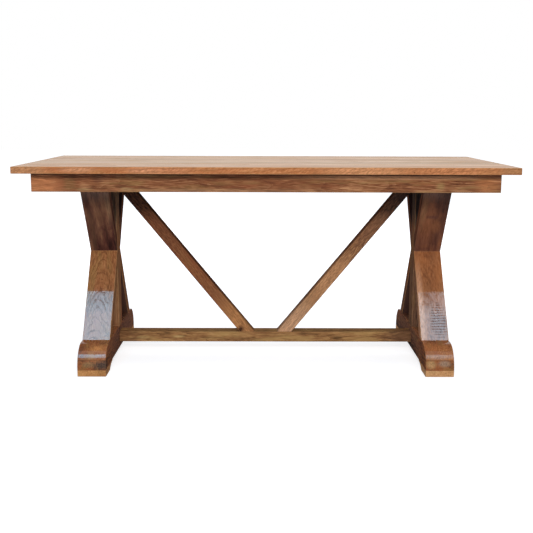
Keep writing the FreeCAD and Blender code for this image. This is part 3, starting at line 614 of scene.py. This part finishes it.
leftBraceWood = dict(
    braceWood, tones=((0.09, 0.032, 0.017), (0.22, 0.078, 0.034), (0.36, 0.155, 0.065)),
    patches=(((0.25, 0.11, 0.046), 0.5, 30.0), ((0.24, 0.075, 0.033), 0.5, 22.0)), paintedTopShade=0.4,
    stainsAndPaintedLight=(
        ((-0.10, -0.03, 0.12), (0.15, 0.05, 0.165), (0.49, 0.225, 0.085), 0.8),
        # painted shade: darker towards the head, under the table top
        ((-0.43, -0.03, 0.50), (0.13, 0.05, 0.16), (0.13, 0.050, 0.026), 0.6),
        # painted shade: the head near black, deep under the top
        ((-0.56, -0.03, 0.70), (0.17, 0.1, 0.20), (0.05, 0.024, 0.018), 0.85)),
    knots=(((-0.102, -0.03, 0.098), 0.013),))
rightBraceWood = dict(
    braceWood, tones=((0.13, 0.062, 0.036), (0.38, 0.185, 0.078), (0.60, 0.34, 0.16)),
    patches=(((0.40, 0.215, 0.088), 0.5, 30.0), ((0.35, 0.14, 0.06), 0.5, 22.0)), paintedTopShade=0.6,
    stainsAndPaintedLight=(
        ((0.08, -0.03, 0.14), (0.16, 0.05, 0.15), (0.60, 0.335, 0.19), 0.8),
        ((0.27, -0.03, 0.30), (0.14, 0.05, 0.16), (0.53, 0.273, 0.135), 0.6),
        # painted shade: darker towards the head, under the table top
        ((0.45, -0.03, 0.58), (0.22, 0.1, 0.28), (0.16, 0.074, 0.044), 0.75),
        # painted shade: the head near black, deep under the top
        ((0.55, -0.03, 0.70), (0.14, 0.1, 0.17), (0.065, 0.037, 0.033), 0.85)))


def stretcherAndBraces():
    wear("stretcher", "stretcher_wood", stretcherWood, alongX, (0.2, 0.06, 0.01))
    for side, look in (("left", leftBraceWood), ("right", rightBraceWood)):
        name = f"brace_{side}"
        turn = rising(name, side == "left")
        wear(name, f"brace_wood_{side}", look, turn, (1.1, 0.05, 0.02))


def innerFrame():
    for name in ("left_bearer", "right_bearer", "centre_batten"):
        wear(name, f"inner_wood_{name}", plainWood, alongY, (3.3, 0.04, 0.05))
    for name in [name for name in nodes if name.startswith("corner_block")]:
        wear(name, f"inner_wood_{name}", plainWood, alongZ, (6.1, 0.05, 0.03))


topBoards()
aprons()
trestles()
stretcherAndBraces()
innerFrame()
print("wood on the frame's own pieces")


# fasteners: each kind is modelled once, upright at the origin, and copied to every place the frame has one

touch = 0.0001  # closer than this counts as lying on it


def selectOnly(piece):
    bpy.ops.object.select_all(action="DESELECT")
    piece.select_set(True)
    bpy.context.view_layer.objects.active = piece


def solidBoxes(name):
    selectOnly(nodes[name])
    bpy.ops.object.duplicate()
    bpy.ops.object.mode_set(mode="EDIT")
    bpy.ops.mesh.select_all(action="SELECT")
    bpy.ops.mesh.remove_doubles(threshold=touch / 10)
    bpy.ops.mesh.separate(type="LOOSE")
    bpy.ops.object.mode_set(mode="OBJECT")
    boxes = []
    for solid in bpy.context.selected_objects:
        sides = list(zip(*(vertex.co for vertex in solid.data.vertices)))
        boxes.append((Vector(min(side) for side in sides), Vector(max(side) for side in sides)))
    bpy.ops.object.delete()
    return sorted(boxes, key=lambda box: tuple(box[0]))


def disc(sides, radius):
    bpy.ops.mesh.primitive_circle_add(vertices=sides, radius=radius, fill_type="NGON")
    piece = bpy.context.object
    bpy.ops.object.mode_set(mode="EDIT")
    bpy.ops.mesh.select_mode(type="FACE")
    bpy.ops.mesh.select_all(action="SELECT")
    return piece


def grow(rise, share=1.0):  # the end face goes on and is drawn in or out
    bpy.ops.mesh.extrude_region_move(TRANSFORM_OT_translate={"value": (0.0, 0.0, rise)})
    bpy.ops.transform.resize(value=(share, share, 1.0))


def pick(piece, kind, test):
    bpy.ops.object.mode_set(mode="EDIT")
    bpy.ops.mesh.select_mode(type=kind)
    bpy.ops.mesh.select_all(action="DESELECT")
    bpy.ops.object.mode_set(mode="OBJECT")
    for part in piece.data.polygons if kind == "FACE" else piece.data.vertices:
        part.select = test(part)
    bpy.ops.object.mode_set(mode="EDIT")


def onHead(face):
    return face.normal.z < -0.9 and face.center.z < touch


def inRing(corner, radius):  # on the head's flat, no further out than the ring inset there
    return corner.co.z < touch and corner.co.xy.length < radius * 1.1


def closeUp(piece, angle=0.6):
    bpy.ops.object.mode_set(mode="EDIT")
    bpy.ops.mesh.select_all(action="SELECT")
    bpy.ops.mesh.remove_doubles(threshold=touch / 10)
    bpy.ops.mesh.normals_make_consistent(inside=False)
    bpy.ops.object.mode_set(mode="OBJECT")
    selectOnly(piece)
    bpy.ops.object.shade_smooth_by_angle(angle=angle)


def addThread(piece, thread, low, high):
    # a triangle that points outwards is swept up a screw line, and its two ends are capped
    size = thread["pitch"] * thread["ridge"]
    bpy.ops.mesh.primitive_circle_add(
        vertices=3, radius=size, fill_type="NOTHING",
        location=(thread["radius"] - size, 0.0, low), rotation=(quarterTurn, quarterTurn, 0.0))
    bpy.ops.object.transform_apply(location=True, rotation=True, scale=True)
    ridge = bpy.context.object
    sweep = ridge.modifiers.new("thread", "SCREW")
    sweep.axis = "Z"
    sweep.angle = 2 * math.pi
    sweep.screw_offset = thread["pitch"]
    sweep.iterations = max(1, round((high - low) / thread["pitch"]))
    sweep.steps = thread["steps"]
    sweep.render_steps = thread["steps"]
    bpy.ops.object.modifier_apply(modifier=sweep.name)
    bpy.ops.object.mode_set(mode="EDIT")
    bpy.ops.mesh.select_all(action="SELECT")
    bpy.ops.mesh.fill_holes(sides=3)
    bpy.ops.mesh.normals_make_consistent(inside=False)
    bpy.ops.object.mode_set(mode="OBJECT")
    piece.select_set(True)
    bpy.context.view_layer.objects.active = piece
    bpy.ops.object.join()


woodScrew = {
    "headRadius": 0.005, "headHeight": 0.003, "headTop": 0.8, "crown": ((0.0005, 1.19), (0.0006, 1.05)),
    "core": 0.0018, "shank": 1.25, "shankStep": 0.0005, "smooth": 0.3,
    "tip": 0.006, "point": ((0.8, 0.35), (0.2, 0.15)), "sides": 24,
    "recess": 0.0026, "recessDepth": 0.0018, "recessTaper": 0.86, "lobes": 6, "lobePinch": 0.78,
    "thread": {"radius": 0.0025, "pitch": 0.0025, "ridge": 0.42, "steps": 12, "start": 0.32},
}


def makeWoodScrew(length):
    head, height = woodScrew["headRadius"], woodScrew["headHeight"]
    core, shank, tip = woodScrew["core"], woodScrew["shank"], woodScrew["tip"]
    shaft = length - height - tip
    thread = woodScrew["thread"]
    screw = disc(woodScrew["sides"], head * woodScrew["headTop"])
    for rise, share in woodScrew["crown"]:
        grow(rise, share)
        height -= rise
    grow(height)
    grow(0.0, core * shank / head)
    grow(shaft * woodScrew["smooth"])
    grow(woodScrew["shankStep"], 1 / shank)
    grow(shaft * (1 - woodScrew["smooth"]) - woodScrew["shankStep"])
    for rise, share in woodScrew["point"]:
        grow(tip * rise, share)

    # six-lobed recess in the head: the ring is pinched between the lobes
    pick(screw, "FACE", onHead)
    bpy.ops.mesh.inset(thickness=head * woodScrew["headTop"] - woodScrew["recess"])
    lobe = 2 * math.pi / woodScrew["lobes"]
    pick(screw, "VERT", lambda corner: inRing(corner, woodScrew["recess"])
         and abs((math.atan2(corner.co.y, corner.co.x) % lobe) - lobe / 2) < lobe * 0.2)
    bpy.ops.transform.resize(value=(woodScrew["lobePinch"], woodScrew["lobePinch"], 1.0))
    pick(screw, "FACE", lambda face: face.normal.z < -0.9 and len(face.vertices) == woodScrew["sides"])
    grow(woodScrew["recessDepth"], woodScrew["recessTaper"])
    closeUp(screw)
    addThread(screw, thread, woodScrew["headHeight"] + shaft * thread["start"], length - tip)
    return screw


capBolt = {
    "headRadius": 0.007, "headHeight": 0.006, "chamfer": 0.0007, "underEdge": (0.0005, 0.95),
    "core": 0.0034, "shank": 0.004, "shankStep": 0.0006, "tip": 0.0010, "tipShare": 0.75,
    "socket": 0.0035, "socketDepth": 0.004, "socketTaper": 0.96, "sides": 48, "threadLength": 0.030,
    "thread": {"radius": 0.004, "pitch": 0.00125, "ridge": 0.42, "steps": 16},
}


def makeCapBolt(length):
    head, chamfer, tip = capBolt["headRadius"], capBolt["chamfer"], capBolt["tip"]
    underRise, underShare = capBolt["underEdge"]
    bolt = disc(capBolt["sides"], head - chamfer)
    grow(chamfer, head / (head - chamfer))
    grow(capBolt["headHeight"] - chamfer - underRise)
    grow(underRise, underShare)
    grow(0.0, capBolt["shank"] / (head * underShare))
    grow(length - capBolt["headHeight"] - capBolt["threadLength"])
    grow(capBolt["shankStep"], capBolt["core"] / capBolt["shank"])
    grow(capBolt["threadLength"] - capBolt["shankStep"] - tip)
    grow(tip, capBolt["tipShare"])

    # hexagon socket: the inset ring is pressed to six flats
    pick(bolt, "FACE", onHead)
    bpy.ops.mesh.inset(thickness=head - chamfer - capBolt["socket"])
    sixth = math.pi / 3
    bpy.ops.object.mode_set(mode="OBJECT")
    for corner in bolt.data.vertices:
        if inRing(corner, capBolt["socket"]):
            turn = (math.atan2(corner.co.y, corner.co.x) % sixth) - sixth / 2
            corner.co.xy *= math.cos(sixth / 2) / math.cos(turn)
    pick(bolt, "FACE", lambda face: onHead(face) and face.center.xy.length < touch)
    grow(capBolt["socketDepth"], capBolt["socketTaper"])
    closeUp(bolt)
    addThread(bolt, capBolt["thread"], length - capBolt["threadLength"] + tip, length - tip)
    return bolt


plainWasher = {"radius": 0.010, "bore": 0.0042, "thickness": 0.002, "chamfer": 0.0004, "steps": 64}


def makePlainWasher():
    # the cut section is a bevelled rectangle, spun round the axis
    width = plainWasher["radius"] - plainWasher["bore"]
    middleRadius = plainWasher["radius"] - width / 2
    origin = (0.0, 0.0, 0.0)
    bpy.ops.mesh.primitive_plane_add(size=1.0)
    washer = bpy.context.object
    bpy.ops.object.mode_set(mode="EDIT")
    bpy.ops.mesh.select_all(action="SELECT")
    bpy.ops.transform.resize(value=(width, plainWasher["thickness"], 1.0))
    bpy.ops.mesh.bevel(offset=plainWasher["chamfer"], segments=1, affect="VERTICES")
    bpy.ops.mesh.select_all(action="SELECT")
    bpy.ops.transform.rotate(value=quarterTurn, orient_axis="X", center_override=origin)
    bpy.ops.transform.translate(value=(middleRadius, 0.0, plainWasher["thickness"] / 2))
    bpy.ops.mesh.delete(type="ONLY_FACE")
    bpy.ops.mesh.select_all(action="SELECT")
    bpy.ops.mesh.spin(steps=plainWasher["steps"], angle=2 * math.pi, center=origin, axis=(0.0, 0.0, 1.0))
    closeUp(washer, angle=0.5)
    return washer


barrelNut = {"radius": 0.007, "height": 0.024, "bore": 0.0041, "chamfer": 0.0006, "sides": 48,
             "boreSides": 40, "slotWidth": 0.0016, "slotDepth": 0.002}


def makeBarrelNut():
    radius, chamfer = barrelNut["radius"], barrelNut["chamfer"]
    through = radius * 4  # long enough to cut all the way
    nut = disc(barrelNut["sides"], radius - chamfer)
    grow(chamfer, radius / (radius - chamfer))
    grow(barrelNut["height"] - 2 * chamfer)
    grow(chamfer, (radius - chamfer) / radius)
    closeUp(nut)
    bpy.ops.mesh.primitive_cylinder_add(
        vertices=barrelNut["boreSides"], radius=barrelNut["bore"], depth=through,
        location=(0.0, 0.0, barrelNut["height"] / 2), rotation=(0.0, quarterTurn, 0.0))
    cutAway(nut, bpy.context.object)
    bpy.ops.mesh.primitive_cube_add(size=1.0, location=(0.0, 0.0, 0.0))
    blade = bpy.context.object
    blade.scale = (through, barrelNut["slotWidth"], barrelNut["slotDepth"] * 2)
    cutAway(nut, blade)
    closeUp(nut)
    return nut


def cutAway(piece, cutter):
    bpy.context.view_layer.update()
    cut = piece.modifiers.new("cut", "BOOLEAN")
    cut.operation = "DIFFERENCE"
    cut.solver = "EXACT"
    cut.object = cutter
    bpy.context.view_layer.objects.active = piece
    bpy.ops.object.modifier_apply(modifier=cut.name)
    selectOnly(cutter)
    bpy.ops.object.delete()
    bpy.context.view_layer.objects.active = piece


flutedDowel = {"radius": 0.005, "chamfer": 0.0015, "endShare": 0.75, "flute": 0.9, "sides": 40}


def makeFlutedDowel(length):
    radius, chamfer, flute = flutedDowel["radius"], flutedDowel["chamfer"], flutedDowel["flute"]
    dowel = disc(flutedDowel["sides"], radius * flutedDowel["endShare"])
    grow(chamfer, 1 / flutedDowel["endShare"])
    grow(length - 2 * chamfer)
    grow(chamfer, flutedDowel["endShare"])
    valley = 2 * math.pi / flutedDowel["sides"] * 2  # every second corner goes in
    pick(dowel, "VERT", lambda corner: corner.co.xy.length > radius * 0.9
         and abs((math.atan2(corner.co.y, corner.co.x) % valley) - valley / 2) < valley * 0.1)
    bpy.ops.transform.resize(value=(flute, flute, 1.0))
    closeUp(dowel, angle=0.3)
    return dowel


def setOut(first, node, name, places, finish):
    # places are (spot, turn): a copy for each, all joined to one piece
    slot, material = finish
    copies = []
    for spot, turn in places:
        selectOnly(first)
        bpy.ops.object.duplicate()
        copy = bpy.context.object
        copy.location = spot
        copy.rotation_euler = turn
        bpy.ops.object.transform_apply(location=True, rotation=True, scale=True)
        copies.append(copy)
    selectOnly(copies[0])
    for copy in copies:
        copy.select_set(True)
    bpy.ops.object.join()
    piece = bpy.context.object
    piece.name = name
    piece.data.name = name
    piece.data.materials.clear()
    piece.data.materials.append(material)
    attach(piece, "root")
    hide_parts(node)
    bpy.data.objects.remove(first)


def axisPlace(box, axis=None):
    # the piece stands on the low end of its axis, the box's longest side if none is given
    low, high = box
    sides = high - low
    if axis is None:
        axis = max(range(3), key=lambda index: sides[index])
    spot = (low + high) / 2
    spot[axis] = low[axis]
    turn = ((0.0, quarterTurn, 0.0), (-quarterTurn, 0.0, 0.0), (0.0, 0.0, 0.0))[axis]
    return spot, turn


def fasteners():
    steel = ("fastener_steel", steelMaterial())
    beech = ("dowel_wood", beechMaterial())
    for node in ("bearer_screws", "batten_screws", "brace_screws", "left_pad_screws", "right_pad_screws"):
        boxes = solidBoxes(node)
        screw = makeWoodScrew(boxes[0][1].z - boxes[0][0].z)
        setOut(screw, node, f"threaded_{node}", [axisPlace(box) for box in boxes], steel)

    boxes = solidBoxes("stretcher_bolts")
    bolt = makeCapBolt(boxes[0][1].x - boxes[0][0].x)
    places = []
    for low, high in boxes:
        spot = (low + high) / 2
        fromLeft = spot.x < 0  # the head lies outside
        spot.x = low.x if fromLeft else high.x
        places.append((spot, (0.0, quarterTurn if fromLeft else -quarterTurn, 0.0)))
    setOut(bolt, "stretcher_bolts", "socket_head_bolts", places, steel)

    places = [axisPlace(box, axis=0) for box in solidBoxes("stretcher_washers")]
    setOut(makePlainWasher(), "stretcher_washers", "chamfered_washers", places, steel)

    places = [axisPlace(box) for box in solidBoxes("stretcher_barrel_nuts")]
    setOut(makeBarrelNut(), "stretcher_barrel_nuts", "slotted_barrel_nuts", places, steel)

    for node in ("left_arm_dowels", "right_arm_dowels", "brace_dowels"):
        boxes = solidBoxes(node)
        dowel = makeFlutedDowel(max(boxes[0][1] - boxes[0][0]))
        setOut(dowel, node, f"fluted_{node}", [axisPlace(box) for box in boxes], beech)


zincSteel = {
    "colour": (0.60, 0.60, 0.58), "dull": (0.42, 0.43, 0.44), "dullEdge": (0.35, 0.65), "cloudScale": 220.0,
    "rough": 0.34, "roughVary": 0.2, "grainScale": 2600.0, "relief": 0.6, "depth": 0.00006,
}


def steelMaterial():
    material, tree, shader = emptyMaterial("zinc_steel")
    coords = addNode(tree, "TexCoord").outputs["Object"]
    cloud = noise(tree, coords, zincSteel["cloudScale"], detail=4.0, rough=0.6).outputs["Fac"]
    grain = noise(tree, coords, zincSteel["grainScale"]).outputs["Fac"]
    dull = step(tree, cloud, *zincSteel["dullEdge"])
    colour = tint(tree, dull, zincSteel["colour"], zincSteel["dull"])
    tree.links.new(colour, shader.inputs["Base Color"])
    shader.inputs["Metallic"].default_value = 1.0
    smoothest = zincSteel["rough"] - zincSteel["roughVary"] / 2
    rough = calc(tree, "MULTIPLY_ADD", cloud, zincSteel["roughVary"], smoothest)
    tree.links.new(rough, shader.inputs["Roughness"])
    relief = {"Height": grain, "Strength": zincSteel["relief"], "Distance": zincSteel["depth"]}
    tree.links.new(addNode(tree, "Bump", relief).outputs[0], shader.inputs["Normal"])
    return material


rawBeech = {
    "pale": (0.66, 0.46, 0.28), "fleck": (0.42, 0.24, 0.12), "cloudScale": 90.0, "cloudShare": 0.3,
    "fleckScale": 900.0, "fleckEdge": (0.52, 0.7), "fleckShare": 0.4,
    "rough": 0.7, "roughVary": 0.1, "relief": 0.5, "depth": 0.0001,
}


def beechMaterial():
    material, tree, shader = emptyMaterial("raw_beech")
    coords = addNode(tree, "TexCoord").outputs["Object"]
    cloud = noise(tree, coords, rawBeech["cloudScale"], detail=3.0).outputs["Fac"]
    fleck = noise(tree, coords, rawBeech["fleckScale"], rough=0.6).outputs["Fac"]
    fleck = step(tree, fleck, *rawBeech["fleckEdge"])
    flecks = times(tree, fleck, rawBeech["fleckShare"])
    share = calc(tree, "MULTIPLY_ADD", cloud, rawBeech["cloudShare"], flecks)
    colour = tint(tree, share, rawBeech["pale"], rawBeech["fleck"])
    tree.links.new(colour, shader.inputs["Base Color"])
    rough = calc(tree, "MULTIPLY_ADD", fleck, rawBeech["roughVary"], rawBeech["rough"])
    tree.links.new(rough, shader.inputs["Roughness"])
    relief = {"Height": fleck, "Strength": rawBeech["relief"], "Distance": rawBeech["depth"]}
    tree.links.new(addNode(tree, "Bump", relief).outputs[0], shader.inputs["Normal"])
    return material


fasteners()
print("fasteners set out")


# floor, world, lamps and camera

floorLook = {"size": 40.0, "drop": 0.0005, "bounce": (0.5, 0.5, 0.52), "shown": 0.76, "fade": (0.8, 2.4)}


def makeFloor():
    bpy.ops.mesh.primitive_plane_add(size=floorLook["size"], location=(0.0, 0.0, -floorLook["drop"]))
    floor = bpy.context.object
    floor.name = "floor"
    material, tree, shader = emptyMaterial("floor_paper")
    shader.inputs["Base Color"].default_value = (*floorLook["bounce"], 1.0)
    shader.inputs["Roughness"].default_value = 0.9
    shader.inputs["Specular IOR Level"].default_value = 0.0
    coords = addNode(tree, "TexCoord").outputs["Object"]
    away = nearness(tree, coords, (0.0, 0.0, 0.0), (1.0, 1.0, 1.0))
    shown = step(tree, away, *floorLook["fade"], floorLook["shown"], 1.0)
    shader.inputs["Emission Color"].default_value = (1.0, 1.0, 1.0, 1.0)
    tree.links.new(times(tree, seenRay(tree), shown), shader.inputs["Emission Strength"])
    floor.data.materials.append(material)


def seenRay(tree):
    path = addNode(tree, "LightPath")
    seen = calc(tree, "MAXIMUM", path.outputs["Is Camera Ray"], path.outputs["Is Glossy Ray"])
    return calc(tree, "MAXIMUM", seen, path.outputs["Is Transmission Ray"])


worldLook = {"light": (0.15, 0.20, 0.29), "shown": (1.0, 1.0, 1.0)}


def makeWorld():
    world = bpy.data.worlds.new("studio")
    bpy.context.scene.world = world
    world.use_nodes = True
    tree = world.node_tree
    tree.nodes.clear()
    colour = tint(tree, seenRay(tree), worldLook["light"], worldLook["shown"])
    background = addNode(tree, "Background", {"Color": colour})
    output = addNode(tree, "OutputWorld")
    tree.links.new(background.outputs[0], output.inputs["Surface"])


softLamp = {"colour": (1.0, 0.97, 0.93), "mirrored": False}
lamps = {
    "sky_left": {"place": (-2.30, -5.848, 7.10), "aim": (-2.30, -0.13, 0.16), "size": (0.9, 2.96),
                 "power": 71.0, "colour": (0.31, 0.72, 1.0)},
    "sky_right": {"place": (2.41, -5.848, 7.10), "aim": (2.41, -0.13, 0.16), "size": (0.9, 2.96),
                  "power": 51.0, "colour": (0.52, 0.80, 1.0)},
    "ceiling": {"place": (0.0, 0.4, 3.2), "aim": (0.0, 0.3, 0.0), "size": (4.0, 1.8),
                "power": 40.0, "colour": (1.0, 1.0, 1.0)},
    "front": {"place": (0.0, -4.8, 2.35), "aim": (0.0, 0.0, 0.55), "size": (2.0, 0.8),
              "power": 162.0, "colour": (1.0, 0.93, 0.85), "mirrored": False},
    "back": dict(softLamp, place=(0.0, 5.0, 2.6), aim=(0.0, 0.0, 0.4), size=(4.0, 1.5), power=110.0),
    "side_left": dict(softLamp, place=(-4.6, 0.5, 2.0), aim=(0.0, 0.0, 0.4), size=(2.0, 2.0), power=16.0),
    "side_right": dict(softLamp, place=(4.6, 0.5, 2.0), aim=(0.0, 0.0, 0.4), size=(2.0, 2.0), power=36.0),
}


def makeLamps():
    for name, lamp in lamps.items():
        place = Vector(lamp["place"])
        bpy.ops.object.light_add(type="AREA", location=place)
        light = bpy.context.object
        light.name = name
        light.data.shape = "RECTANGLE"
        light.data.size, light.data.size_y = lamp["size"]
        light.data.energy = lamp["power"]
        light.data.color = lamp["colour"]
        light.visible_glossy = lamp.get("mirrored", True)
        light.rotation_euler = (Vector(lamp["aim"]) - place).to_track_quat("-Z", "Y").to_euler()


view = {  # solved from the photograph, in metres, radians and the photograph's pixels
    "place": (-0.0226, -3.5394, 0.9655), "pitch": 0.1713, "yaw": 0.0073, "roll": 0.0033,
    "focus": 883.15, "pixels": 533, "sensor": 36.0,
}


def makeCamera():
    bpy.ops.object.camera_add(location=view["place"])
    camera = bpy.context.object
    camera.data.sensor_width = view["sensor"]
    camera.data.lens = view["focus"] / view["pixels"] * view["sensor"]
    aim = Euler((quarterTurn - view["pitch"], 0.0, -view["yaw"])).to_matrix()
    camera.rotation_euler = (aim @ Matrix.Rotation(view["roll"], 3, "Z")).to_euler()
    bpy.context.scene.camera = camera


makeFloor()
makeWorld()
makeLamps()
makeCamera()
bpy.context.scene.view_settings.view_transform = "Standard"
print("floor, light and camera set")
